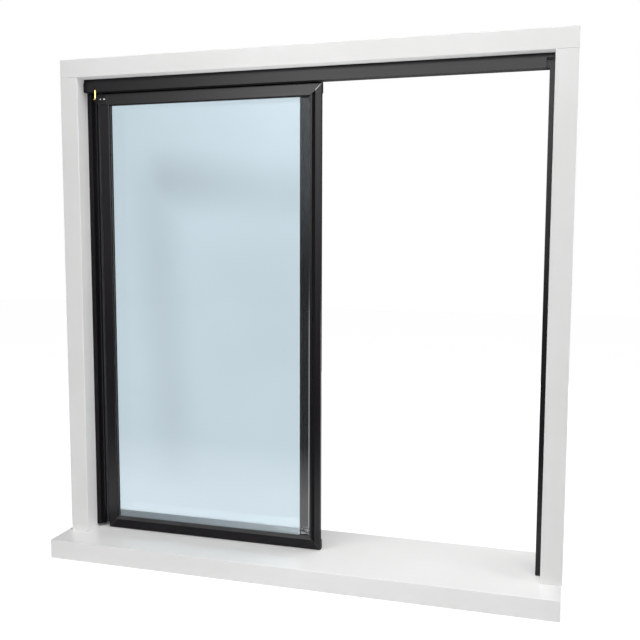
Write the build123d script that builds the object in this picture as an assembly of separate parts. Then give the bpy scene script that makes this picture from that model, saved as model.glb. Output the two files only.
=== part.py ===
from build123d import *
import os

# Concession window: a white casing round a dark frame, a counter shelf at its foot,
# one fixed light of glass on the left and a top-hung sliding panel in front of it.
# X runs along the window from its middle, Y from the front to the back with 0 at the
# middle of the casing, and Z is up from the underside of the shelf. Millimetres.

# Casing
clear_width = 1219.0
clear_height = 1238.0
side_board_width = 51.0
head_board_height = 48.0
casing_depth = 120.0

# Counter shelf
shelf_thickness = 51.0
shelf_overhang = 84.0
shelf_left_end = 673.0
shelf_right_end = 658.0
board_edge_round = 1.5

# Frame, with depths measured from the front face of the casing
header_setback = 30.0
jamb_setback = 48.0
frame_back_setback = 110.0
wall = 2.2
header_height = 33.7
fascia_height = 23.3
fascia_step = 3.0
fascia_notch = 7.0
rear_underside_rise = 9.7
slot_width = 10.0
jamb_leg = 12.5
jamb_head_rise = 3.6
left_jamb_width = 19.5
left_jamb_step_setback = 58.5
left_jamb_foot_gap = 7.3
fixed_front_setback = 87.0
fixed_slope = 4.5
fixed_rail_width = 25.9
fixed_sill_height = 13.0

# Glass and glazing, the same in both lights
glass_thickness = 6.0
glazing_gap = 2.0
pocket_depth = 8.0
edge_cover = 6.0
rear_lip_cut = 4.0
gasket_show = 1.5
gasket_proud = 1.5
gasket_chamfer = 0.6
header_lip_height = 3.0
header_glass_bite = 14.0
setting_block_length = 80.0

# Sliding panel
panel_setback = 52.0
panel_thickness = 27.0
panel_open_gap = 37.0
panel_lap = 13.0
panel_floor_gap = 1.5
panel_top_gap = 3.0
top_fin_rise = 2.0
rail_facet = 23.8
rail_bevel = 1.4
top_facet = 27.7
bottom_slope_width = 5.8
bottom_slope_depth = 4.0
lead_facet = 16.0
pull_width = 8.7
pull_depth = 6.0
pull_lip_width = 5.5
pull_lip_depth = 1.0
mitre_ease = 1.6
lead_flange_depth = 9.5
lead_corner_depth = 16.0
lead_inset = 6.0
guide_groove_width = 7.0
guide_groove_depth = 8.0

# Meeting stile
meeting_left = 17.3
meeting_setback = 84.0
interlock_gap = 3.0

# Hanging gear
wheel_radius = 9.0
wheel_width = 6.0
wheel_side_gap = 1.0
wheel_groove = 1.0
axle_radius = 2.5
axle_clearance = 0.15
axle_spacing = 44.0
hanger_plate = 5.0
hanger_length = 70.0
hanger_foot_width = 20.0
hanger_foot = 2.0
hanger_inset = 70.0
hanger_head = 7.0
seat_gap = 0.3

# Latch at the top left, the foot guide, the pile seals and the stop strip
latch_plate_width = 27.0
latch_plate_height = 24.0
latch_plate_thickness = 2.0
latch_overhang = 7.5
latch_drop = 25.3
latch_screw_spacing = 11.0
latch_screw_hole = 1.6
latch_screw_inset = 7.0
pin_radius = 1.9
pin_gap = 34.0
pin_inset = 1.5
pin_top_rise = 4.7
pin_length = 24.0
pin_bend = 3.2
pin_notch_width = 7.0
pin_notch_height = 5.0
guide_length = 50.0
guide_fin = 5.0
guide_base = 1.0
guide_reach = 5.0
guide_height = 38.0
pile_width = 5.0
stop_width = 4.0
stop_depth = 6.0
stop_setback = 10.4

# Derived places
half_width = clear_width / 2
casing_front = -casing_depth / 2
casing_back = casing_depth / 2
shelf_top = shelf_thickness
soffit = shelf_top + clear_height
header_front = casing_front + header_setback
jamb_front = casing_front + jamb_setback
frame_back = casing_front + frame_back_setback
fixed_front = casing_front + fixed_front_setback
meeting_front = casing_front + meeting_setback
panel_front = casing_front + panel_setback
panel_back = panel_front + panel_thickness
header_bottom = soffit - header_height
rear_underside = header_bottom + rear_underside_rise
track_floor = rear_underside + wall
panel_x0 = -half_width + panel_open_gap
panel_x1 = panel_x0 + half_width + panel_lap
panel_z0 = shelf_top + panel_floor_gap
panel_z1 = header_bottom - panel_top_gap
panel_middle = panel_front + panel_thickness / 2
pocket_width = glass_thickness + 2 * glazing_gap
fixed_middle = (fixed_front + frame_back) / 2
fixed_pocket_front = fixed_middle - pocket_width / 2
fixed_pocket_back = fixed_middle + pocket_width / 2
left_jamb_edge = left_jamb_width - half_width
jamb_inner = half_width - jamb_leg
pin_x = pin_gap - half_width
hanger_places = (panel_x0 + hanger_inset, panel_x1 - hanger_inset)


def block(x0, x1, y0, y1, z0, z1):
    """A box between two corners."""
    return Pos(x0, y0, z0) * Box(x1 - x0, y1 - y0, z1 - z0, align=(Align.MIN, Align.MIN, Align.MIN))


def along_x(outline, x0, x1):
    """A profile of (y, z) points run from x0 to x1."""
    face = Plane.YZ.offset(x0) * make_face(Polyline(outline, close=True).edges())
    return extrude(face, amount=x1 - x0)


def along_z(outline, z0, z1):
    """A profile of (x, y) points run from z0 to z1."""
    face = Plane.XY.offset(z0) * make_face(Polyline(outline, close=True).edges())
    return extrude(face, amount=z1 - z0)


def along_y(outline, y0, y1):
    """A profile of (x, z) points run from y0 to y1."""
    face = Plane.XZ.offset(-y0) * make_face(Polyline(outline, close=True).edges())
    return extrude(face, amount=-(y1 - y0))


def cylinder_y(x, y0, y1, z, radius):
    return Pos(x, (y0 + y1) / 2, z) * Rot(90, 0, 0) * Cylinder(radius, y1 - y0)


def save(shape, node):
    export_step(shape, "parts/" + node + ".step")


def rounded_board(board):
    """A board with its long edges eased, as a painted board has them."""
    return fillet(board.edges(), board_edge_round)


def casing():
    """Two side boards under a head board, standing on the shelf."""
    outer = half_width + side_board_width
    sides = {
        "left_casing_board": (-outer, -half_width),
        "right_casing_board": (half_width, outer),
    }
    for node, (x0, x1) in sides.items():
        save(rounded_board(block(x0, x1, casing_front, casing_back, shelf_top, soffit)), node)
    head = block(-outer, outer, casing_front, casing_back, soffit, soffit + head_board_height)
    save(rounded_board(head), "head_casing_board")
    shelf = block(
        -shelf_left_end,
        shelf_right_end,
        casing_front - shelf_overhang,
        casing_back + shelf_overhang,
        0,
        shelf_thickness,
    )
    save(rounded_board(shelf), "counter_shelf")


def header_track():
    """The head extrusion: fascia, wheel track with its slot, and the pocket of the fixed glass."""
    inner_front = header_front + wall
    slot_front = panel_middle - slot_width / 2
    slot_back = panel_middle + slot_width / 2
    web = fixed_front - wall / 2
    pocket_front = fixed_front + wall / 2
    pocket_back = frame_back - wall
    pocket_top = soffit - wall
    fascia_top = header_bottom + fascia_height
    lip_top = rear_underside + header_lip_height
    outline = [
        (header_front, header_bottom),
        (header_front, fascia_top),
        (header_front + fascia_step, fascia_top),
        (header_front + fascia_step, soffit),
        (frame_back, soffit),
        (frame_back, rear_underside),
        (fixed_pocket_back, rear_underside),
        (fixed_pocket_back, lip_top),
        (pocket_back, lip_top),
        (pocket_back, pocket_top),
        (pocket_front, pocket_top),
        (pocket_front, lip_top),
        (fixed_pocket_front, lip_top),
        (fixed_pocket_front, rear_underside),
        (slot_back, rear_underside),
        (slot_back, track_floor),
        (web, track_floor),
        (web, pocket_top),
        (inner_front + fascia_step, pocket_top),
        (inner_front + fascia_step, fascia_top - wall),
        (inner_front, fascia_top - wall),
        (inner_front, track_floor),
        (slot_front, track_floor),
        (slot_front, header_bottom),
    ]
    track = along_x(outline, -half_width, half_width)
    chamber = (inner_front, slot_front - wall, header_bottom + wall, track_floor - wall)
    track -= block(-half_width, half_width, *chamber)
    track -= block(
        jamb_inner - fascia_notch, half_width, header_front, web, header_bottom, fascia_top
    )
    notch = block(
        pin_x - pin_notch_width / 2,
        pin_x + pin_notch_width / 2,
        header_front,
        inner_front,
        header_bottom,
        header_bottom + pin_notch_height,
    )
    bore = Pos(pin_x, header_front + pin_inset, header_bottom) * Cylinder(
        pin_radius + axle_clearance, 2 * (track_floor - header_bottom)
    )
    save(track - notch - bore, "header_track")


def left_jamb():
    """The jamb that carries the fixed glass: a front leg, a step and a glazing pocket."""
    wall_x = -half_width
    step_front = casing_front + left_jamb_step_setback
    floor_x = left_jamb_edge - pocket_depth
    foot = shelf_top + left_jamb_foot_gap
    rear_front = panel_middle + slot_width / 2
    outline = [
        (wall_x, jamb_front),
        (wall_x + jamb_leg, jamb_front),
        (wall_x + jamb_leg, step_front),
        (left_jamb_edge, step_front),
        (left_jamb_edge, fixed_pocket_front),
        (floor_x, fixed_pocket_front),
        (floor_x, fixed_pocket_back),
        (left_jamb_edge, fixed_pocket_back),
        (left_jamb_edge, frame_back),
        (wall_x, frame_back),
    ]
    jamb = along_z(outline, foot, rear_underside)
    jamb -= block(wall_x, left_jamb_edge, jamb_front, rear_front, header_bottom, rear_underside)
    jamb -= block(
        wall_x + wall,
        wall_x + jamb_leg - wall,
        jamb_front + wall,
        step_front,
        foot,
        rear_underside,
    )
    jamb -= block(
        wall_x + wall,
        floor_x - wall,
        step_front + wall,
        frame_back - wall,
        foot,
        rear_underside,
    )
    jamb -= block(
        floor_x - wall,
        left_jamb_edge - wall,
        step_front + wall,
        fixed_pocket_front - wall,
        foot,
        rear_underside,
    )
    save(jamb, "left_jamb")


def right_jamb():
    """The jamb that the sliding panel closes into, open towards the panel's edge."""
    wall_x = half_width
    box_front = panel_back + wall
    web = fixed_front - wall / 2
    leg_top = header_bottom + fascia_height - wall
    head_bottom = header_bottom + jamb_head_rise
    head_top = soffit - 2 * wall
    front = [
        (wall_x, jamb_front),
        (jamb_inner, jamb_front),
        (jamb_inner, jamb_front + wall),
        (wall_x - wall, jamb_front + wall),
        (wall_x - wall, box_front),
        (wall_x, box_front),
    ]
    jamb = along_z(front, shelf_top, leg_top)
    jamb += block(jamb_inner, wall_x, box_front, web, shelf_top, leg_top)
    jamb += block(jamb_inner, wall_x, web, frame_back, shelf_top, rear_underside)
    jamb += block(
        jamb_inner - fascia_notch, wall_x, jamb_front, jamb_front + wall, head_bottom, head_top
    )
    jamb -= block(
        jamb_inner + wall, wall_x - wall, box_front + wall, frame_back - wall, shelf_top, leg_top
    )
    save(jamb, "right_jamb")


def fixed_sill_channel():
    """The low channel on the shelf that holds the foot of the fixed glass."""
    base = shelf_top
    top = base + fixed_sill_height
    floor = top - pocket_depth
    outline = [
        (fixed_front, base),
        (fixed_front, top - fixed_slope),
        (fixed_front + fixed_slope, top),
        (fixed_pocket_front, top),
        (fixed_pocket_front, floor),
        (fixed_pocket_back, floor),
        (fixed_pocket_back, top),
        (frame_back, top),
        (frame_back, base),
    ]
    x0 = left_jamb_edge
    channel = along_x(outline, x0, -meeting_left)
    channel -= block(
        x0, -meeting_left, fixed_front + wall, frame_back - wall, base + wall, floor - wall
    )
    save(channel, "fixed_sill_channel")
    blocks = []
    for x in (x0 + setting_block_length, -meeting_left - 2 * setting_block_length):
        blocks.append(
            block(
                x,
                x + setting_block_length,
                fixed_pocket_front,
                fixed_pocket_back,
                floor,
                floor + glazing_gap,
            )
        )
    save(Compound(children=blocks), "fixed_setting_blocks")


def meeting_stile():
    """The post at the free edge of the fixed glass, behind the sliding panel."""
    x0 = -meeting_left
    x1 = x0 + fixed_rail_width
    outline = [
        (x0, meeting_front + fixed_slope),
        (x0 + fixed_slope, meeting_front),
        (x1, meeting_front),
        (x1, frame_back),
        (x0, frame_back),
        (x0, fixed_pocket_back),
        (x0 + pocket_depth, fixed_pocket_back),
        (x0 + pocket_depth, fixed_pocket_front),
        (x0, fixed_pocket_front),
    ]
    stile = along_z(outline, shelf_top, rear_underside)
    stile -= block(
        x0 + pocket_depth + wall,
        x1 - wall,
        meeting_front + wall,
        frame_back - wall,
        shelf_top,
        rear_underside,
    )
    save(stile, "meeting_stile")


def rail_section(face):
    """A rail's section from its front outline: (inward, backward) points with the glass pocket.

    The lip behind the glass is lower than the one in front, so that it stays out of sight.
    """
    pocket_front = (panel_thickness - pocket_width) / 2
    pocket_back = pocket_front + pocket_width
    width = face[-1][0]
    return face + [
        (width, pocket_front),
        (width - pocket_depth, pocket_front),
        (width - pocket_depth, pocket_back),
        (width - rear_lip_cut, pocket_back),
        (width - rear_lip_cut, panel_thickness),
        (0, panel_thickness),
    ]


def mitre_shape(corners):
    """The front view of a mitred rail, through the whole thickness of the panel."""
    return along_y(corners, panel_front, panel_back)


def mitre_groove(x, z, side_x, side_z, reach):
    """The eased edges of a mitre, a shallow groove that runs inwards from a corner."""
    groove = along_y(
        [
            (x, z),
            (x + side_x * mitre_ease, z),
            (x + side_x * (reach + mitre_ease), z + side_z * reach),
            (x + side_x * reach, z + side_z * (reach + mitre_ease)),
            (x, z + side_z * mitre_ease),
        ],
        panel_front - mitre_ease,
        panel_front + mitre_ease / 2,
    )
    return groove


def top_fin():
    """The fin along the top rail that stands in the track's slot, left out at the hangers."""
    half_fin = wall / 2
    top = header_bottom + top_fin_rise
    fin = block(
        panel_x0, panel_x1, panel_middle - half_fin, panel_middle + half_fin, panel_z1, top
    )
    half_hanger = hanger_length / 2 + seat_gap
    for x in hanger_places:
        fin -= block(
            x - half_hanger,
            x + half_hanger,
            panel_middle - half_fin,
            panel_middle + half_fin,
            panel_z1,
            top,
        )
    return fin


def sliding_panel():
    """Four mitred hollow rails round the glass."""
    side_face = [(0, 0), (rail_facet, 0), (rail_facet + rail_bevel, rail_bevel)]
    top_face = [(0, 0), (top_facet, 0), (top_facet + rail_bevel, rail_bevel)]
    bottom_face = [
        (0, 0),
        (rail_facet, 0),
        (rail_facet + bottom_slope_width, bottom_slope_depth),
    ]
    pull_end = lead_facet + pull_width
    lead_face = [
        (0, 0),
        (lead_facet, 0),
        (lead_facet + wall, pull_depth),
        (pull_end - wall / 2, pull_depth),
        (pull_end, pull_lip_depth),
        (pull_end + pull_lip_width, pull_lip_depth),
    ]
    inner_x0 = panel_x0 + side_face[-1][0]
    inner_x1 = panel_x1 - lead_face[-1][0]
    inner_z0 = panel_z0 + bottom_face[-1][0]
    inner_z1 = panel_z1 - top_face[-1][0]
    low_left = [(panel_x0, panel_z0), (inner_x0, inner_z0)]
    low_right = [(panel_x1, panel_z0), (inner_x1, inner_z0)]
    top_left = [(panel_x0, panel_z1), (inner_x0, inner_z1)]
    top_right = [(panel_x1, panel_z1), (inner_x1, inner_z1)]
    grooves = mitre_groove(panel_x1, panel_z1, -1, -1, top_facet)
    grooves += mitre_groove(panel_x1, panel_z0, -1, 1, rail_facet)
    grooves += mitre_groove(panel_x0, panel_z0, 1, 1, rail_facet)

    side = rail_section(side_face)
    stile = along_z([(panel_x0 + u, panel_front + v) for u, v in side], panel_z0, panel_z1)
    stile -= block(
        panel_x0 + wall,
        inner_x0 - pocket_depth - wall,
        panel_front + wall,
        panel_back - wall,
        panel_z0,
        panel_z1,
    )
    stile &= mitre_shape(low_left + top_left[::-1])
    save(stile - grooves, "sliding_trailing_stile")

    lead = rail_section(lead_face)
    stile = along_z([(panel_x1 - u, panel_front + v) for u, v in lead], panel_z0, panel_z1)
    stile -= block(
        panel_x1 - lead_facet + wall / 2,
        panel_x1 - lead_inset - wall,
        panel_front + wall,
        panel_back - wall,
        panel_z0,
        panel_z1,
    )
    inset_x = panel_x1 - lead_inset
    flange_back = panel_front + lead_flange_depth
    corner_back = panel_front + lead_corner_depth
    rail_ends = (panel_z0 + rail_facet, panel_z1 - rail_facet)
    stile -= block(inset_x, panel_x1, flange_back, panel_back, *rail_ends)
    stile -= block(inset_x, panel_x1, corner_back, panel_back, panel_z0, panel_z1)
    stile &= mitre_shape(low_right + top_right[::-1])
    save(stile - grooves, "sliding_lead_stile")

    top = rail_section(top_face)
    rail = along_x([(panel_front + v, panel_z1 - u) for u, v in top], panel_x0, inset_x)
    rail -= block(
        panel_x0,
        panel_x1,
        panel_front + wall,
        panel_back - wall,
        inner_z1 + pocket_depth + wall,
        panel_z1 - wall,
    )
    rail += block(
        inset_x, panel_x1, panel_front, corner_back, panel_z1 - top_facet, panel_z1
    )
    rail &= mitre_shape(top_left + top_right[::-1])
    rail += top_fin()
    save(rail - grooves, "sliding_top_rail")

    bottom = rail_section(bottom_face)
    rail = along_x([(panel_front + v, panel_z0 + u) for u, v in bottom], panel_x0, inset_x)
    groove_front = panel_middle - guide_groove_width / 2
    groove_back = panel_middle + guide_groove_width / 2
    rail -= block(
        panel_x0, panel_x1, groove_front, groove_back, panel_z0, panel_z0 + guide_groove_depth
    )
    for y0, y1 in (
        (panel_front + wall, groove_front - wall),
        (groove_back + wall, panel_back - wall),
    ):
        rail -= block(
            panel_x0, panel_x1, y0, y1, panel_z0 + wall, inner_z0 - pocket_depth - wall
        )
    rail += block(inset_x, panel_x1, panel_front, corner_back, panel_z0, panel_z0 + rail_facet)
    rail &= mitre_shape(low_left + low_right[::-1])
    save(rail - grooves, "sliding_bottom_rail")

    glass_front = panel_middle - glass_thickness / 2
    glass_back = panel_middle + glass_thickness / 2
    glass = block(
        inner_x0 - edge_cover,
        inner_x1 + edge_cover,
        glass_front,
        glass_back,
        inner_z0 - edge_cover,
        inner_z1 + edge_cover,
    )
    save(glass, "sliding_glass")
    front_opening = (inner_x0, inner_x1, inner_z0, inner_z1)
    back_opening = (
        inner_x0 - rear_lip_cut,
        inner_x1 + rear_lip_cut,
        inner_z0 - rear_lip_cut,
        inner_z1 + rear_lip_cut,
    )
    back_cover = edge_cover - rear_lip_cut
    front_ring = gasket(front_opening, edge_cover, edge_cover, glass_front, -1)
    save(front_ring, "sliding_front_gasket")
    save(gasket(back_opening, back_cover, back_cover, glass_back, 1), "sliding_back_gasket")


def gasket(opening, cover, top_cover, glass_face, side):
    """A glazing gasket on one face of the glass: a thin web in the pocket and a proud lip."""
    x0, x1, z0, z1 = opening
    web_far = glass_face + side * glazing_gap
    lip_far = web_far + side * gasket_proud
    web = block(
        x0 - cover,
        x1 + cover,
        min(glass_face, web_far),
        max(glass_face, web_far),
        z0 - cover,
        z1 + top_cover,
    )
    lip = block(x0, x1, min(glass_face, lip_far), max(glass_face, lip_far), z0, z1)
    hole = block(
        x0 + gasket_show,
        x1 - gasket_show,
        min(glass_face, lip_far),
        max(glass_face, lip_far),
        z0 + gasket_show,
        z1 - gasket_show,
    )
    ring = web + lip - hole
    inner_edges = [
        edge
        for edge in ring.edges()
        if abs(edge.center().Y - lip_far) < 0.01
        and x0 + gasket_show / 2 < edge.center().X < x1 - gasket_show / 2
        and z0 + gasket_show / 2 < edge.center().Z < z1 - gasket_show / 2
    ]
    return chamfer(inner_edges, gasket_chamfer)


def fixed_light():
    """The fixed glass, held by the jamb, the sill channel, the header and the meeting stile."""
    x0 = left_jamb_edge
    x1 = -meeting_left
    z0 = shelf_top + fixed_sill_height
    z1 = rear_underside
    glass_front = fixed_middle - glass_thickness / 2
    glass_back = fixed_middle + glass_thickness / 2
    glass = block(
        x0 - edge_cover,
        x1 + edge_cover,
        glass_front,
        glass_back,
        z0 - edge_cover,
        z1 + header_glass_bite,
    )
    save(glass, "fixed_glass")
    opening = (x0, x1, z0, z1)
    for node, face, side in (
        ("fixed_front_gasket", glass_front, -1),
        ("fixed_back_gasket", glass_back, 1),
    ):
        save(gasket(opening, edge_cover, header_lip_height, face, side), node)


def hanger(side, x):
    """A plate that stands on the top rail and hangs from four wheels in the track."""
    axle_z = track_floor + seat_gap + wheel_radius
    wheel_reach = slot_width / 2 + wheel_side_gap + wheel_width
    plate = block(
        x - hanger_length / 2,
        x + hanger_length / 2,
        panel_middle - hanger_plate / 2,
        panel_middle + hanger_plate / 2,
        panel_z1,
        axle_z + hanger_head,
    )
    plate += block(
        x - hanger_length / 2,
        x + hanger_length / 2,
        panel_middle - hanger_foot_width / 2,
        panel_middle + hanger_foot_width / 2,
        panel_z1,
        panel_z1 + hanger_foot,
    )
    wheels = []
    for axle_x in (x - axle_spacing / 2, x + axle_spacing / 2):
        plate += cylinder_y(
            axle_x,
            panel_middle - wheel_reach - wheel_side_gap,
            panel_middle + wheel_reach + wheel_side_gap,
            axle_z,
            axle_radius,
        )
        for y0 in (panel_middle - wheel_reach, panel_middle + wheel_reach - wheel_width):
            wheels.append(wheel(axle_x, y0, axle_z))
    save(plate, side + "_hanger")
    save(Compound(children=wheels), side + "_hanger_wheels")


def wheel(x, y0, z):
    """A grooved wheel with a bore that runs on its axle."""
    profile = [
        (axle_radius + axle_clearance, 0),
        (wheel_radius, 0),
        (wheel_radius, wheel_width / 4),
        (wheel_radius - wheel_groove, wheel_width / 2),
        (wheel_radius, wheel_width * 3 / 4),
        (wheel_radius, wheel_width),
        (axle_radius + axle_clearance, wheel_width),
    ]
    face = make_face(Polyline(profile, close=True).edges())
    return Pos(x, y0, z) * revolve(face, Axis.Y)


def latch():
    """A small keeper plate on the corner of the panel and a brass pin behind the fascia."""
    plate_x0 = panel_x0 - latch_overhang
    plate_z1 = panel_z1 - latch_drop + latch_plate_height
    plate = block(
        plate_x0,
        plate_x0 + latch_plate_width,
        panel_front - latch_plate_thickness,
        panel_front,
        plate_z1 - latch_plate_height,
        plate_z1,
    )
    hole_x = plate_x0 + latch_plate_width - latch_screw_inset
    for x in (hole_x, hole_x - latch_screw_spacing):
        plate -= cylinder_y(
            x,
            panel_front - latch_plate_thickness,
            panel_front,
            plate_z1 - latch_plate_height / 2,
            latch_screw_hole,
        )
    save(plate, "latch_plate")

    y = header_front + pin_inset
    top = header_bottom + pin_top_rise
    low = top - pin_length
    start = Vector(pin_x, y, top)
    bend_start = Vector(pin_x, y, low + pin_bend)
    bend_end = Vector(pin_x - pin_bend, y, low)
    path = Line(start, bend_start) + TangentArc(bend_start, bend_end, tangent=(0, 0, -1))
    section = Plane(start, z_dir=(0, 0, -1)) * Circle(pin_radius)
    pin = sweep(section, path=path)
    pin += Pos(bend_end) * Sphere(pin_radius)
    save(pin, "latch_pin")


def small_gear():
    """The foot guide, the pile seals and the strip that stops the open panel."""
    guide = block(
        -guide_length / 2,
        guide_length / 2,
        panel_middle - guide_fin / 2,
        meeting_front - interlock_gap,
        shelf_top,
        shelf_top + guide_base,
    )
    guide += block(
        -guide_length / 2,
        guide_length / 2,
        panel_middle - guide_fin / 2,
        panel_middle + guide_fin / 2,
        shelf_top,
        panel_z0 + guide_reach,
    )
    meeting_x0 = -meeting_left + fixed_slope
    guide += block(
        meeting_x0,
        fixed_rail_width - meeting_left,
        panel_back + seat_gap,
        meeting_front,
        shelf_top,
        shelf_top + guide_height,
    )
    save(guide, "bottom_guide")

    pocket_middle = (jamb_front + wall + panel_back + wall) / 2
    strike = block(
        half_width - wall - pile_width,
        half_width - wall,
        pocket_middle - pile_width / 2,
        pocket_middle + pile_width / 2,
        shelf_top,
        header_bottom,
    )
    save(strike, "strike_pile")

    meeting = block(
        meeting_x0,
        meeting_x0 + pile_width,
        panel_back + seat_gap,
        meeting_front,
        shelf_top + guide_height,
        header_bottom,
    )
    save(meeting, "meeting_pile")

    stop_front = casing_front + left_jamb_step_setback + stop_setback
    stop = block(
        left_jamb_edge,
        left_jamb_edge + stop_width,
        stop_front,
        stop_front + stop_depth,
        shelf_top + left_jamb_foot_gap,
        header_bottom,
    )
    save(stop, "jamb_bumper")


casing()
header_track()
left_jamb()
right_jamb()
fixed_sill_channel()
meeting_stile()
sliding_panel()
fixed_light()
for side_name, place in zip(("left", "right"), hanger_places):
    hanger(side_name, place)
latch()
small_gear()
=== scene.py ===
import math

import bmesh
import bpy
from mathutils import Matrix, Vector


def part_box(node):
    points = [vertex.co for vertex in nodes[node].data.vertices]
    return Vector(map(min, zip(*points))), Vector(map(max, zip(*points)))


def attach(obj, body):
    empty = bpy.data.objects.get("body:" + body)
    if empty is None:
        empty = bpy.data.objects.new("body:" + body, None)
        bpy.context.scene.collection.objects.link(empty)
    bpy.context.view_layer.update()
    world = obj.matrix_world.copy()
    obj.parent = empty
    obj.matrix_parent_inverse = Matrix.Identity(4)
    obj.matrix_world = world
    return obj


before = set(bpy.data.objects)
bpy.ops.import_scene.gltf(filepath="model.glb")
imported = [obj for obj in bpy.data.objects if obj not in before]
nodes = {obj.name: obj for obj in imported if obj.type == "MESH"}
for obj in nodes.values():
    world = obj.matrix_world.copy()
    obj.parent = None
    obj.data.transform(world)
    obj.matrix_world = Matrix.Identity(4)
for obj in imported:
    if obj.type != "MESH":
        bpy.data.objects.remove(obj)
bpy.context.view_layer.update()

MM = 0.001

# Camera, in metres, degrees and millimetres of lens, read from the photo's vanishing points
CAMERA_PLACE = Vector((0.6383, -2.018, 0.8626))
CAMERA_YAW = 16.37
CAMERA_PITCH = -5.54
CAMERA_ROLL = 0.17
CAMERA_LENS = 46.3
CAMERA_SENSOR = 36.0
CAMERA_NEAR = 0.05
CAMERA_FAR = 60.0

# Front face of the sliding panel, and the painted highlights along its mitres, full over a share of
# the width
PANEL_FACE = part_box("sliding_trailing_stile")[0].y
MITRE_WIDTH = 1.5 * MM
MITRE_CORE = 0.6
MITRE_REACH = 23.0 * MM
MITRE_DEPTH = (1.2 * MM, 2.0 * MM)
# Greys of the painted highlights along the mitres: brighter at the top right, fainter at the foot
MITRE_HIGHLIGHT_BRIGHT = 0.20
MITRE_HIGHLIGHT_FAINT = 0.04
MITRE_ROUGH = 0.35
# The way along X and Z that a mitre's line runs in from its corner
TOWARDS_LOW_LEFT = (-1, -1)
TOWARDS_HIGH_LEFT = (-1, 1)
TOWARDS_HIGH_RIGHT = (1, 1)

# Part of a face's normal: Z from fully down to not at all and from not at all to fully up, and
# X towards the right
FACES_DOWN = (-0.9, -0.5)
FACES_UP = (0.3, 0.6)
FACES_RIGHT = (0.4, 0.8)
# The middle part of the noise's range, over which colours and numbers are spread
TONE_SPREAD = (0.35, 0.65)
NOISE_SPREAD = (0.3, 0.7)

# Dark bronze anodising: two tones of it, the roughness of bright and dull parts, the noise
# stretched to the die lines along X or Z, and the IOR of each extrusion, raised on the track and
# the top rail as painted sheen and lowered on the bottom rail as painted shade
BRONZE_DARK = (0.0060, 0.0050, 0.0064, 1.0)
BRONZE_LIGHT = (0.0078, 0.0068, 0.0084, 1.0)
BRONZE_GLOSS = (0.19, 0.27)
BRONZE_DULL_ROUGH = 0.9
# Grey painted on downward faces and in recesses, darker than the metal: painted shade
BRONZE_PAINTED_SHADE_GREY = 0.0035
DIE_LINES = {"x": (0.004, 1.0, 1.0), "z": (1.0, 1.0, 0.004)}
BRONZE_IOR = 1.25
LEVEL_SHEEN_IOR = 1.27
TOP_RAIL_SHEEN_IOR = 1.32
BOTTOM_RAIL_SHADE_IOR = 1.19
# A lighter grey painted in patches on upward slopes as a painted highlight, and the metal that is
# dull and painted past an edge
BOTTOM_RAIL_PAINTED_SHEEN = 0.05
PAINTED_SHEEN_PATCHES = (0.6, 1.0)
DULL_EDGE = 0.2 * MM
LEAD_FACE_DEPTH = 2.5 * MM
JAMB_END_HEIGHT = 8.0 * MM
# Lighter grey painted on the jamb's end: painted light over a dark reflection
JAMB_END_PAINTED_LIGHT_GREY = 0.15
# Lighter metallic grey painted on the latch plate's right-facing edge: a painted highlight
KEEPER_EDGE_HIGHLIGHT_GREY = 0.45

# Glass: its tint, how much lighter its lighter patches are, and its IOR
GLASS_TINT = (0.775, 0.848, 0.890)
GLASS_FILM = 1.02
GLASS_IOR = 1.5

# Screws of the latch plate, set in a row from its right edge
SCREW_RADIUS = 2.1 * MM
SCREW_RISE = 1.4 * MM
SCREW_INSET = 7.0 * MM
SCREW_SPACING = 11.0 * MM
SCREW_COUNT = 2
SCREW_SEGMENTS = 24
SCREW_RINGS = 5

# Floor: the camera sees its even glow by this share and else its lit surface, and gloss mirrors
# a level that grows with Y
FLOOR_SIZE = 16.0
FLOOR_ALBEDO = 0.80
FLOOR_GLOW = 1.22
FLOOR_GLOW_SHARE = 0.80
MIRROR_FLOOR_FAR = 0.25
MIRROR_FLOOR_NEAR = 2.7
MIRROR_FLOOR_RISE = (-1.2, -0.5)

# Sky in front of the window turns into the sky behind it across this range of depth
HORIZON = (-0.2, 0.2)
LEAST_DEPTH = 0.05
# Level behind the window that gloss mirrors, level of the room in the glass's own reflection,
# level of the dark bands behind the glass, and share of the room's lights seen through it
MIRROR_BACK = 0.1
GLASS_ROOM = 0.15
GLASS_BAND = 0.80
GLASS_VEIL = 0.42
# Dark bands behind the glass: tilt, centre and reach of each, in slopes of the sight line, and
# the ranges of the other slope over which it comes and goes
LEVEL_BAND = (0.10, 0.028, 0.056)
LEVEL_BAND_RISE = (-0.555, -0.505)
LEVEL_BAND_FADE = (-0.50, -0.36)
LEVEL_BAND_FADED = 0.65
UPRIGHT_BAND = (0.067, -0.520, 0.0512)
UPRIGHT_BAND_RISE = (-0.35, -0.24)
UPRIGHT_BAND_STRENGTH = 0.5
UPRIGHT_BAND_END = (0.07, 0.12)
# Sky that lights matt surfaces: direction, sharpness and strength of each soft lobe
MATT_SKY = {
    "even": ((0.0, 0.0, 0.0), 0.0, 0.05),
    "right": ((1.0, 0.0, 0.0), 4.0, 0.28),
}
# Soft lights that gloss mirrors, by slopes: rise and fall across, lift upwards, strength
GLOSS_SKY = {
    "room": (None, None, None, 0.8),
    "wide_high": ((-0.64, -0.24), None, (0.10, 0.24), 2.2),
    "wide_mid": ((-0.64, -0.24), None, (-0.06, 0.14), 4.2),
}
GLOSS_WINDOW = ((-0.39, -0.33), (-0.25, -0.30), (0.13, 0.21), 5.0)
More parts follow.
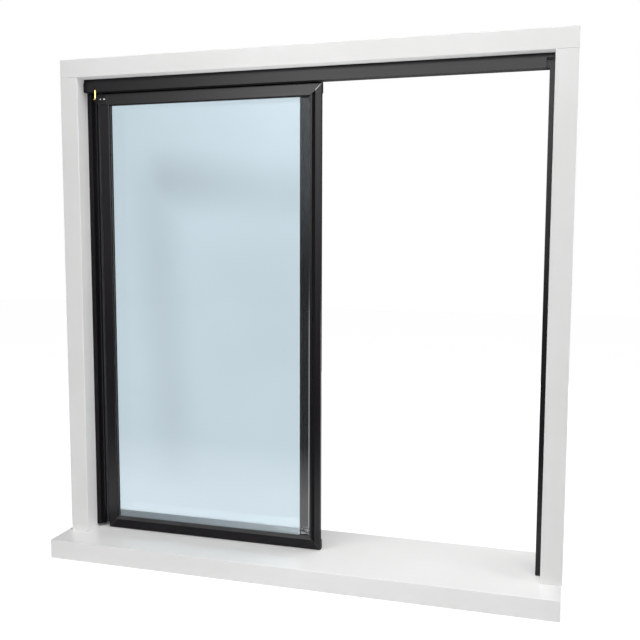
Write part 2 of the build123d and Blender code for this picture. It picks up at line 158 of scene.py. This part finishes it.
# Lamps as place, size, power, the point each is aimed at and spread in degrees
LAMPS = {
    "above": (Vector((0.0, -0.9, 3.0)), (2.4, 0.8), 53.0, Vector((0.0, -0.1, 0.0)), 180),
    "right_side": (Vector((3.0, -0.8, 1.0)), (1.0, 1.6), 27.0, Vector((-0.6, -0.1, 0.65)), 180),
    "left_low": (Vector((-1.6, -1.8, 0.3)), (1.0, 0.5), 5.0, Vector((-0.5, -0.1, 0.1)), 180),
    "under_head": (Vector((0.0, -0.75, 0.25)), (1.4, 0.3), 2.9, Vector((0.0, -0.03, 1.29)), 180),
    "soffit": (Vector((0.0, -0.28, 0.12)), (0.8, 0.15), 0.9, Vector((0.0, -0.05, 1.29)), 60),
    "rear_shelf": (Vector((0.35, 0.20, 0.75)), (0.5, 0.2), 2.6, Vector((0.35, 0.1, 0.0)), 180),
    "back_fill": (Vector((0.0, 3.2, 0.5)), (2.4, 0.8), 60.0, Vector((0.0, 0.0, 0.75)), 180),
    "left_fill": (Vector((-3.2, 0.4, 0.7)), (0.8, 1.2), 20.0, Vector((-0.66, 0.0, 0.7)), 180),
}


def grey(value):
    """An even grey."""
    return (value, value, value, 1.0)


def fresh_tree(holder):
    """The emptied node tree of a material or world."""
    holder.use_nodes = True
    holder.node_tree.nodes.clear()
    return holder.node_tree


def new_material(name):
    """A material with a fresh Principled shader, and its tree."""
    material = bpy.data.materials.new(name)
    tree = fresh_tree(material)
    output = tree.nodes.new("ShaderNodeOutputMaterial")
    shader = tree.nodes.new("ShaderNodeBsdfPrincipled")
    tree.links.new(shader.outputs["BSDF"], output.inputs["Surface"])
    return material, tree, shader


def feed(tree, socket, value):
    """Links a socket to the input, or sets the input to a number or colour."""
    if isinstance(value, (int, float, tuple)):
        socket.default_value = value
    else:
        tree.links.new(value, socket)


def math_node(tree, operation, *values):
    """A Math node's output; each value is a socket or a number."""
    made = tree.nodes.new("ShaderNodeMath")
    made.operation = operation
    for socket, value in zip(made.inputs, values):
        feed(tree, socket, value)
    return made.outputs[0]


def combine(tree, operation, levels):
    """Several levels put together by one operation."""
    made = levels[0]
    for level in levels[1:]:
        made = math_node(tree, operation, made, level)
    return made


def value_range(tree, source, low, high, from_low, from_high, kind="LINEAR"):
    """A number between low and high as the source rises."""
    made = tree.nodes.new("ShaderNodeMapRange")
    made.interpolation_type = kind
    made.inputs["From Min"].default_value = from_low
    made.inputs["From Max"].default_value = from_high
    made.inputs["To Min"].default_value = low
    made.inputs["To Max"].default_value = high
    tree.links.new(source, made.inputs["Value"])
    return made.outputs["Result"]


def smooth_range(tree, source, low, high, from_low, from_high):
    """A number that eases from low to high as the source rises."""
    return value_range(tree, source, low, high, from_low, from_high, "SMOOTHSTEP")


def ramp(tree, source, low, high):
    """A colour between low and high as noise rises."""
    made = tree.nodes.new("ShaderNodeValToRGB")
    for element, position, colour in zip(made.color_ramp.elements, TONE_SPREAD, (low, high)):
        element.position = position
        element.color = colour
    tree.links.new(source, made.inputs["Fac"])
    return made.outputs["Color"]


def mix_value(tree, factor, first, second):
    """A number between the first and the second by the factor."""
    made = tree.nodes.new("ShaderNodeMix")
    made.data_type = "FLOAT"
    tree.links.new(factor, made.inputs["Factor"])
    feed(tree, made.inputs[2], first)
    feed(tree, made.inputs[3], second)
    return made.outputs[0]


def mix_colour(tree, factor, first, second):
    """A colour between the first and the second by the factor."""
    made = tree.nodes.new("ShaderNodeMix")
    made.data_type = "RGBA"
    tree.links.new(factor, made.inputs["Factor"])
    feed(tree, made.inputs[6], first)
    feed(tree, made.inputs[7], second)
    return made.outputs[2]


def parts_of(tree, kind, output):
    """The x, y and z sockets of a vector that a new node of this kind puts out."""
    source = tree.nodes.new(kind)
    split = tree.nodes.new("ShaderNodeSeparateXYZ")
    tree.links.new(source.outputs[output], split.inputs["Vector"])
    return split.outputs


def noise(tree, scale, detail=3.0, stretch=(1.0, 1.0, 1.0)):
    """Noise in object coordinates, stretched along the axes; its Fac socket."""
    coords = tree.nodes.new("ShaderNodeTexCoord")
    mapping = tree.nodes.new("ShaderNodeMapping")
    mapping.inputs["Scale"].default_value = stretch
    texture = tree.nodes.new("ShaderNodeTexNoise")
    texture.inputs["Scale"].default_value = scale
    texture.inputs["Detail"].default_value = detail
    tree.links.new(coords.outputs["Object"], mapping.inputs["Vector"])
    tree.links.new(mapping.outputs["Vector"], texture.inputs["Vector"])
    return texture.outputs["Fac"]


def tone(tree, shader, texture, low, high):
    """A base colour that wanders between two tones."""
    tree.links.new(ramp(tree, texture, low, high), shader.inputs["Base Color"])


def gloss(tree, shader, texture, low, high):
    """A roughness that wanders between two values."""
    rough = value_range(tree, texture, low, high, *NOISE_SPREAD)
    tree.links.new(rough, shader.inputs["Roughness"])


def bump(tree, shader, source, strength, distance):
    """A bump on the shader's normal; a second call stacks on the first."""
    made = tree.nodes.new("ShaderNodeBump")
    made.inputs["Strength"].default_value = strength
    made.inputs["Distance"].default_value = distance
    tree.links.new(source, made.inputs["Height"])
    if shader.inputs["Normal"].is_linked:
        earlier = shader.inputs["Normal"].links[0].from_socket
        tree.links.new(earlier, made.inputs["Normal"])
    tree.links.new(made.outputs["Normal"], shader.inputs["Normal"])


def painted_board():
    """Satin white paint laid on with a roller over a smooth board."""
    material, tree, shader = new_material("white_paint")
    tones = noise(tree, 3.0, 4.0)
    tone(tree, shader, tones, (0.745, 0.745, 0.735, 1.0), (0.785, 0.785, 0.78, 1.0))
    gloss(tree, shader, noise(tree, 60.0), 0.42, 0.52)
    bump(tree, shader, noise(tree, 420.0, 2.0), 0.10, 0.4 * MM)
    bump(tree, shader, noise(tree, 9.0, 2.0), 0.05, 3.0 * MM)
    return material


def counter_gloss():
    """Glossy white laminate with a faint pebble in it."""
    material, tree, shader = new_material("counter_gloss")
    tone(tree, shader, noise(tree, 2.2, 4.0), (0.82, 0.82, 0.812, 1.0), (0.86, 0.86, 0.855, 1.0))
    gloss(tree, shader, noise(tree, 26.0, 4.0), 0.16, 0.24)
    bump(tree, shader, noise(tree, 700.0, 2.0), 0.04, 0.2 * MM)
    bump(tree, shader, noise(tree, 5.0, 2.0), 0.04, 2.0 * MM)
    return material


def mitre_line(tree, place, corner, towards):
    """The mask of a painted highlight: one along the mitre that runs in from a corner (x, z) of the
    panel, and zero beside it.
    """
    run, drop = [
        math_node(tree, "MULTIPLY", math_node(tree, "SUBTRACT", place[axis], start), way)
        for axis, start, way in zip("XZ", corner, towards)
    ]
    away = math_node(tree, "ABSOLUTE", math_node(tree, "SUBTRACT", run, drop))
    depth = [PANEL_FACE + part for part in MITRE_DEPTH]
    return combine(
        tree,
        "MULTIPLY",
        [
            smooth_range(tree, away, 1.0, 0.0, MITRE_WIDTH * MITRE_CORE, MITRE_WIDTH),
            smooth_range(tree, run, 1.0, 0.0, MITRE_REACH, MITRE_REACH + MM),
            smooth_range(tree, place["Y"], 1.0, 0.0, *depth),
        ],
    )


def anodised(
    name, along, ior=BRONZE_IOR, dull_and_painted_past=(), painted_grey=BRONZE_PAINTED_SHADE_GREY, painted_sheen=None, mitres=()
):
    """Dark bronze anodised extrusion, with fine die lines along its length.

    Downward faces, and what lies past the given places, each an axis and a coordinate, are dull and
    take the painted grey: darker as painted shade, or lighter as painted light. The painted sheen
    is a lighter grey painted in patches on upward slopes, a painted highlight. The mitres show as
    painted highlights, lines of lighter metallic grey: each is a corner, the way it runs and the
    line's grey.
    """
    material, tree, shader = new_material(name)
    place = parts_of(tree, "ShaderNodeTexCoord", "Object")
    facing = parts_of(tree, "ShaderNodeNewGeometry", "Normal")
    lines = noise(tree, 900.0, 2.0, DIE_LINES[along])
    rough = value_range(tree, lines, *BRONZE_GLOSS, *NOISE_SPREAD)
    bump(tree, shader, lines, 0.06, 0.1 * MM)
    shade = ramp(tree, noise(tree, 6.0), BRONZE_DARK, BRONZE_LIGHT)
    shader.inputs["IOR"].default_value = ior

    # Downward faces and what lies past the given places turn dull and take the painted grey
    dull_and_painted = [smooth_range(tree, facing["Z"], 1.0, 0.0, *FACES_DOWN)]
    for axis, start in dull_and_painted_past:
        dull_and_painted.append(smooth_range(tree, place[axis], 0.0, 1.0, start - DULL_EDGE, start))
    dull_and_painted = combine(tree, "MAXIMUM", dull_and_painted)
    rough = mix_value(tree, dull_and_painted, rough, BRONZE_DULL_ROUGH)
    shade = mix_colour(tree, dull_and_painted, shade, grey(painted_grey))
    # A lighter grey painted in patches on upward slopes: a painted highlight
    if painted_sheen is not None:
        upward = smooth_range(tree, facing["Z"], 0.0, 1.0, *FACES_UP)
        patches = value_range(tree, noise(tree, 14.0), *PAINTED_SHEEN_PATCHES, *NOISE_SPREAD)
        shade = mix_colour(tree, math_node(tree, "MULTIPLY", upward, patches), shade, grey(painted_sheen))

    # Lighter metallic lines along the mitres: painted highlights
    mitre_highlights = []
    for corner, towards, highlight_grey in mitres:
        line = mitre_line(tree, place, corner, towards)
        shade = mix_colour(tree, line, shade, grey(highlight_grey))
        rough = mix_value(tree, line, rough, MITRE_ROUGH)
        mitre_highlights.append(line)
    if mitre_highlights:
        tree.links.new(combine(tree, "MAXIMUM", mitre_highlights), shader.inputs["Metallic"])
    tree.links.new(shade, shader.inputs["Base Color"])
    tree.links.new(rough, shader.inputs["Roughness"])
    return material


def keeper_metal():
    """The latch plate's dark finish, with faces turned to the right painted a lighter metallic
    grey, a painted highlight.
    """
    material, tree, shader = new_material("keeper_metal")
    shader.inputs["IOR"].default_value = BRONZE_IOR
    facing = parts_of(tree, "ShaderNodeNewGeometry", "Normal")
    # Faces turned to the right take a lighter metallic grey: a painted highlight
    right_face_highlight = smooth_range(tree, facing["X"], 0.0, 1.0, *FACES_RIGHT)
    shade = ramp(tree, noise(tree, 30.0), grey(0.0070), grey(0.0100))
    shade = mix_colour(tree, right_face_highlight, shade, grey(KEEPER_EDGE_HIGHLIGHT_GREY))
    tree.links.new(shade, shader.inputs["Base Color"])
    tree.links.new(right_face_highlight, shader.inputs["Metallic"])
    gloss(tree, shader, noise(tree, 300.0), 0.30, 0.42)
    bump(tree, shader, noise(tree, 700.0), 0.06, 0.1 * MM)
    return material


def clear_glass(name):
    """Tempered glass with a faint blue cast."""
    material, tree, shader = new_material(name)
    light = tuple(min(1.0, part * GLASS_FILM) for part in GLASS_TINT)
    tone(tree, shader, noise(tree, 2.4, 2.0), (*GLASS_TINT, 1.0), (*light, 1.0))
    shader.inputs["Transmission Weight"].default_value = 1.0
    shader.inputs["Roughness"].default_value = 0.0
    shader.inputs["IOR"].default_value = GLASS_IOR
    return material


def black_vinyl():
    """Matt black gasket."""
    material, tree, shader = new_material("black_vinyl")
    tone(tree, shader, noise(tree, 30.0), grey(0.008), grey(0.014))
    shader.inputs["Roughness"].default_value = 0.6
    bump(tree, shader, noise(tree, 500.0), 0.1, 0.2 * MM)
    return material


def black_pile():
    """Woven pile, seen as fine tufts."""
    material, tree, shader = new_material("black_pile")
    tone(tree, shader, noise(tree, 900.0, 2.0), grey(0.006), grey(0.03))
    shader.inputs["Roughness"].default_value = 0.95
    bump(tree, shader, noise(tree, 1500.0, 2.0), 0.6, 0.6 * MM)
    return material


def nylon():
    """Off-white moulded nylon."""
    material, tree, shader = new_material("nylon")
    tone(tree, shader, noise(tree, 20.0), (0.62, 0.61, 0.57, 1.0), (0.70, 0.69, 0.65, 1.0))
    shader.inputs["Roughness"].default_value = 0.4
    shader.inputs["Subsurface Weight"].default_value = 0.05
    bump(tree, shader, noise(tree, 300.0), 0.05, 0.2 * MM)
    return material


def black_nylon():
    """Black moulded nylon, a little worn."""
    material, tree, shader = new_material("black_nylon")
    tone(tree, shader, noise(tree, 20.0), grey(0.010), grey(0.020))
    gloss(tree, shader, noise(tree, 60.0), 0.40, 0.55)
    bump(tree, shader, noise(tree, 300.0), 0.05, 0.2 * MM)
    return material


def bright_steel():
    """Zinc plated steel."""
    material, tree, shader = new_material("bright_steel")
    tone(tree, shader, noise(tree, 120.0), (0.62, 0.63, 0.65, 1.0), (0.78, 0.78, 0.79, 1.0))
    shader.inputs["Metallic"].default_value = 1.0
    gloss(tree, shader, noise(tree, 400.0), 0.22, 0.36)
    bump(tree, shader, noise(tree, 900.0), 0.08, 0.1 * MM)
    return material


def zinc_in_painted_shade():
    """Zinc plating painted near black, a painted shade of the hangers inside the track."""
    material, tree, shader = new_material("zinc_in_painted_shade")
    tone(tree, shader, noise(tree, 80.0), grey(0.006), grey(0.014))
    shader.inputs["Metallic"].default_value = 1.0
    gloss(tree, shader, noise(tree, 200.0), 0.45, 0.60)
    bump(tree, shader, noise(tree, 500.0), 0.06, 0.1 * MM)
    return material


def yellow_brass():
    """Drawn brass rod with fine turning marks."""
    material, tree, shader = new_material("yellow_brass")
    tone(tree, shader, noise(tree, 160.0), (0.72, 0.48, 0.15, 1.0), (0.86, 0.62, 0.26, 1.0))
    shader.inputs["Metallic"].default_value = 1.0
    gloss(tree, shader, noise(tree, 300.0), 0.20, 0.34)
    bump(tree, shader, noise(tree, 1800.0, 1.0, (0.1, 0.1, 1.0)), 0.1, 0.1 * MM)
    return material


def set_material(names, material):
    """Gives CAD nodes a material."""
    for name in names:
        mesh = nodes[name].data
        if mesh.materials:
            mesh.materials[0] = material
        else:
            mesh.materials.append(material)


def dress_metal():
    """The anodised extrusions: frame, track and panel."""
    low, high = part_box("sliding_trailing_stile")
    left, foot, top = low.x, low.z, high.z
    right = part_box("sliding_lead_stile")[1].x
    jamb_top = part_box("right_jamb")[1].z
    # Painted highlights along the mitres, one for each corner
    top_right = ((right, top), TOWARDS_LOW_LEFT, MITRE_HIGHLIGHT_BRIGHT)
    low_right = ((right, foot), TOWARDS_HIGH_LEFT, MITRE_HIGHLIGHT_FAINT)
    low_left = ((left, foot), TOWARDS_HIGH_RIGHT, MITRE_HIGHLIGHT_FAINT)

    set_material(["left_jamb", "meeting_stile"], anodised("anodised_upright", "z"))
    set_material(
        ["header_track", "fixed_sill_channel"], anodised("anodised_level", "x", ior=LEVEL_SHEEN_IOR)
    )
    # The jamb's end mirrors the dark inside of the track; it is dull there and painted a lighter
    # grey, painted light over that dark reflection
    jamb_end = [("Z", jamb_top - JAMB_END_HEIGHT)]
    set_material(
        ["right_jamb"],
        anodised("anodised_right", "z", dull_and_painted_past=jamb_end, painted_grey=JAMB_END_PAINTED_LIGHT_GREY),
    )
    set_material(
        ["sliding_trailing_stile"], anodised("anodised_trailing", "z", mitres=[low_left])
    )
    # The lead stile behind its front face, in the groove, is painted darker: painted shade
    set_material(
        ["sliding_lead_stile"],
        anodised(
            "anodised_lead",
            "z",
            dull_and_painted_past=[("Y", PANEL_FACE + LEAD_FACE_DEPTH)],
            mitres=[top_right, low_right],
        ),
    )
    # The top rail's fin above its top, inside the track's slot, is painted darker: painted shade
    set_material(
        ["sliding_top_rail"],
        anodised(
            "anodised_top", "x", ior=TOP_RAIL_SHEEN_IOR, dull_and_painted_past=[("Z", top)], mitres=[top_right]
        ),
    )
    # The bottom rail's upward slopes are painted a lighter grey in patches: a painted highlight
    set_material(
        ["sliding_bottom_rail"],
        anodised(
            "anodised_foot",
            "x",
            ior=BOTTOM_RAIL_SHADE_IOR,
            painted_sheen=BOTTOM_RAIL_PAINTED_SHEEN,
            mitres=[low_left, low_right],
        ),
    )


def dress_nodes():
    """Materials of every CAD node."""
    dress_metal()
    gaskets = [
        f"{pane}_{side}_gasket" for pane in ("sliding", "fixed") for side in ("front", "back")
    ]
    set_material(
        ["left_casing_board", "right_casing_board", "head_casing_board"], painted_board()
    )
    set_material(["counter_shelf"], counter_gloss())
    set_material(["latch_plate"], keeper_metal())
    set_material(["sliding_glass"], clear_glass("sliding_glass"))
    set_material(["fixed_glass"], clear_glass("fixed_glass"))
    set_material(gaskets + ["fixed_setting_blocks", "jamb_bumper"], black_vinyl())
    set_material(["strike_pile", "meeting_pile"], black_pile())
    set_material(["left_hanger_wheels", "right_hanger_wheels"], nylon())
    set_material(["bottom_guide"], black_nylon())
    # The hangers are painted near black: painted shade inside the track
    set_material(["left_hanger", "right_hanger"], zinc_in_painted_shade())
    set_material(["latch_pin"], yellow_brass())


def mesh_object(name, mesh_builder, material, body="root"):
    """A mesh piece made by a bmesh function, which rides on the body."""
    mesh = bpy.data.meshes.new(name)
    made = bmesh.new()
    mesh_builder(made)
    bmesh.ops.recalc_face_normals(made, faces=made.faces)
    made.to_mesh(mesh)
    made.free()
    piece = bpy.data.objects.new(name, mesh)
    bpy.context.scene.collection.objects.link(piece)
    piece.data.materials.append(material)
    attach(piece, body)
    return piece


def screw_head(made, centre):
    """A domed pan head, facing the front."""
    rows = []
    for ring in range(SCREW_RINGS - 1):
        lean = ring / (SCREW_RINGS - 1) * math.pi / 2
        radius, rise = SCREW_RADIUS * math.cos(lean), SCREW_RISE * math.sin(lean)
        row = []
        for step in range(SCREW_SEGMENTS):
            turn = 2 * math.pi * step / SCREW_SEGMENTS
            offset = Vector((radius * math.cos(turn), -rise, radius * math.sin(turn)))
            row.append(made.verts.new(centre + offset))
        rows.append(row)
    for low, high in zip(rows, rows[1:]):
        for step in range(SCREW_SEGMENTS):
            after = (step + 1) % SCREW_SEGMENTS
            made.faces.new((low[step], low[after], high[after], high[step]))
    made.faces.new(rows[-1])
    made.faces.new(list(reversed(rows[0])))


def latch_screws():
    """Two screws that hold the keeper plate to the panel."""
    low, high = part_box("latch_plate")
    middle = (low.z + high.z) / 2

    def build(made):
        for step in range(SCREW_COUNT):
            x = high.x - SCREW_INSET - step * SCREW_SPACING
            screw_head(made, Vector((x, low.y, middle)))

    piece = mesh_object("latch_screws", build, bright_steel())
    for polygon in piece.data.polygons:
        polygon.use_smooth = True


def studio_floor():
    """The pale floor: lit as any surface, with a white glow for the camera."""
    material = bpy.data.materials.new("studio_floor")
    tree = fresh_tree(material)
    output = tree.nodes.new("ShaderNodeOutputMaterial")
    diffuse = tree.nodes.new("ShaderNodeBsdfDiffuse")
    diffuse.inputs["Color"].default_value = grey(FLOOR_ALBEDO)
    glow = tree.nodes.new("ShaderNodeEmission")
    place = parts_of(tree, "ShaderNodeTexCoord", "Object")
    path = tree.nodes.new("ShaderNodeLightPath")
    mirrored = value_range(
        tree, place["Y"], MIRROR_FLOOR_FAR, MIRROR_FLOOR_NEAR, *MIRROR_FLOOR_RISE
    )
    strength = mix_value(tree, path.outputs["Is Glossy Ray"], FLOOR_GLOW, mirrored)
    tree.links.new(strength, glow.inputs["Strength"])
    seen = math_node(tree, "MULTIPLY", path.outputs["Is Camera Ray"], FLOOR_GLOW_SHARE)
    seen = math_node(tree, "MAXIMUM", seen, path.outputs["Is Glossy Ray"])
    mixed = tree.nodes.new("ShaderNodeMixShader")
    tree.links.new(seen, mixed.inputs["Fac"])
    tree.links.new(diffuse.outputs[0], mixed.inputs[1])
    tree.links.new(glow.outputs[0], mixed.inputs[2])
    tree.links.new(mixed.outputs[0], output.inputs["Surface"])
    return material


def matt_light(tree, parts, lobe):
    """One soft lobe of the sky that matt surfaces see."""
    direction, sharpness, strength = lobe
    if not sharpness:
        return strength
    facing = combine(
        tree,
        "ADD",
        [math_node(tree, "MULTIPLY", part, along) for part, along in zip(parts, direction)],
    )
    facing = math_node(tree, "POWER", math_node(tree, "MAXIMUM", facing, 0.0), sharpness)
    return math_node(tree, "MULTIPLY", facing, strength)


def gloss_light(tree, side, slope, light):
    """One soft light of the room that gloss mirrors."""
    rise, fall, lift, strength = light
    level = strength
    for source, reach in ((side, rise), (side, fall), (slope, lift)):
        if reach:
            level = math_node(tree, "MULTIPLY", smooth_range(tree, source, 0.0, 1.0, *reach), level)
    return level


def band(tree, slope, other, shape):
    """One on a dark band of the room, easing to zero on both sides of it."""
    tilt, centre, reach = shape
    leaning = math_node(tree, "ADD", slope, math_node(tree, "MULTIPLY", other, tilt))
    away = math_node(tree, "ABSOLUTE", math_node(tree, "SUBTRACT", leaning, centre))
    return smooth_range(tree, away, 1.0, 0.0, 0.0, reach)


def dark_bands(tree, side, slope):
    """The level band and the upright one that show through the glass."""
    level_band = [
        band(tree, slope, side, LEVEL_BAND),
        smooth_range(tree, side, 0.0, 1.0, *LEVEL_BAND_RISE),
        value_range(tree, side, 1.0, LEVEL_BAND_FADED, *LEVEL_BAND_FADE),
    ]
    upright_band = [
        band(tree, side, slope, UPRIGHT_BAND),
        value_range(tree, slope, 0.0, UPRIGHT_BAND_STRENGTH, *UPRIGHT_BAND_RISE),
        value_range(tree, slope, 1.0, 0.0, *UPRIGHT_BAND_END),
    ]
    return math_node(
        tree, "MAXIMUM", *[combine(tree, "MULTIPLY", made) for made in (level_band, upright_band)]
    )


def sky():
    """White behind the window, a room in front for gloss, and soft light for the rest."""
    world = bpy.data.worlds.new("studio_sky")
    bpy.context.scene.world = world
    tree = fresh_tree(world)
    world.cycles.sampling_method = "NONE"
    output = tree.nodes.new("ShaderNodeOutputWorld")
    background = tree.nodes.new("ShaderNodeBackground")
    across, depth, height = parts_of(tree, "ShaderNodeTexCoord", "Generated")
    behind = value_range(tree, depth, 0.0, 1.0, *HORIZON)

    # Directions as slopes: how far aside and up a sight line goes for each metre of depth
    distance = math_node(tree, "MAXIMUM", math_node(tree, "ABSOLUTE", depth), LEAST_DEPTH)
    slope = math_node(tree, "DIVIDE", height, distance)
    side = math_node(tree, "DIVIDE", across, distance)

    room = combine(
        tree, "ADD", [gloss_light(tree, side, slope, light) for light in GLOSS_SKY.values()]
    )
    window = gloss_light(tree, side, slope, GLOSS_WINDOW)
    mirrored = mix_value(tree, behind, math_node(tree, "ADD", room, window), MIRROR_BACK)
    white = mix_value(tree, dark_bands(tree, side, slope), 1.0, GLASS_BAND)
    veil = math_node(tree, "MULTIPLY", room, GLASS_VEIL)
    through = mix_value(tree, behind, veil, white)

    path = tree.nodes.new("ShaderNodeLightPath").outputs
    parts = (across, depth, height)
    strength = combine(tree, "ADD", [matt_light(tree, parts, lobe) for lobe in MATT_SKY.values()])
    strength = mix_value(tree, path["Is Glossy Ray"], strength, mirrored)
    from_glass = math_node(tree, "MULTIPLY", path["Is Glossy Ray"], path["Is Singular Ray"])
    strength = mix_value(tree, from_glass, strength, GLASS_ROOM)
    strength = mix_value(tree, path["Is Transmission Ray"], strength, through)
    strength = mix_value(tree, path["Is Camera Ray"], strength, 1.0)
    background.inputs["Color"].default_value = grey(1.0)
    tree.links.new(strength, background.inputs["Strength"])
    tree.links.new(background.outputs[0], output.inputs["Surface"])


def aim(thing, target):
    """Turns a lamp towards a point."""
    thing.rotation_mode = "QUATERNION"
    thing.rotation_quaternion = (target - thing.location).to_track_quat("-Z", "Y")


def studio():
    """The pale floor, the lamps and the sky."""
    mesh = bpy.data.meshes.new("floor")
    half = FLOOR_SIZE / 2
    corners = [(-half, -half, 0), (half, -half, 0), (half, half, 0), (-half, half, 0)]
    mesh.from_pydata(corners, [], [(0, 1, 2, 3)])
    floor = bpy.data.objects.new("floor", mesh)
    bpy.context.scene.collection.objects.link(floor)
    floor.data.materials.append(studio_floor())
    floor.visible_transmission = False

    for name, (place, size, power, target, spread) in LAMPS.items():
        data = bpy.data.lights.new(name, "AREA")
        data.shape = "RECTANGLE"
        data.size, data.size_y = size
        data.energy = power
        data.spread = math.radians(spread)
        lamp = bpy.data.objects.new(name, data)
        lamp.location = place
        lamp.visible_camera = False
        lamp.visible_glossy = False
        lamp.visible_transmission = False
        bpy.context.scene.collection.objects.link(lamp)
        aim(lamp, target)
    sky()


def camera():
    """The photograph's viewpoint."""
    data = bpy.data.cameras.new("camera")
    data.lens = CAMERA_LENS
    data.sensor_width = CAMERA_SENSOR
    data.clip_start = CAMERA_NEAR
    data.clip_end = CAMERA_FAR
    thing = bpy.data.objects.new("camera", data)
    bpy.context.scene.collection.objects.link(thing)
    thing.matrix_world = (
        Matrix.Translation(CAMERA_PLACE)
        @ Matrix.Rotation(math.radians(CAMERA_YAW), 4, "Z")
        @ Matrix.Rotation(math.radians(90 + CAMERA_PITCH), 4, "X")
        @ Matrix.Rotation(math.radians(CAMERA_ROLL), 4, "Z")
    )
    bpy.context.scene.camera = thing


camera()
studio()
dress_nodes()
latch_screws()

bpy.context.scene.view_settings.view_transform = "Standard"
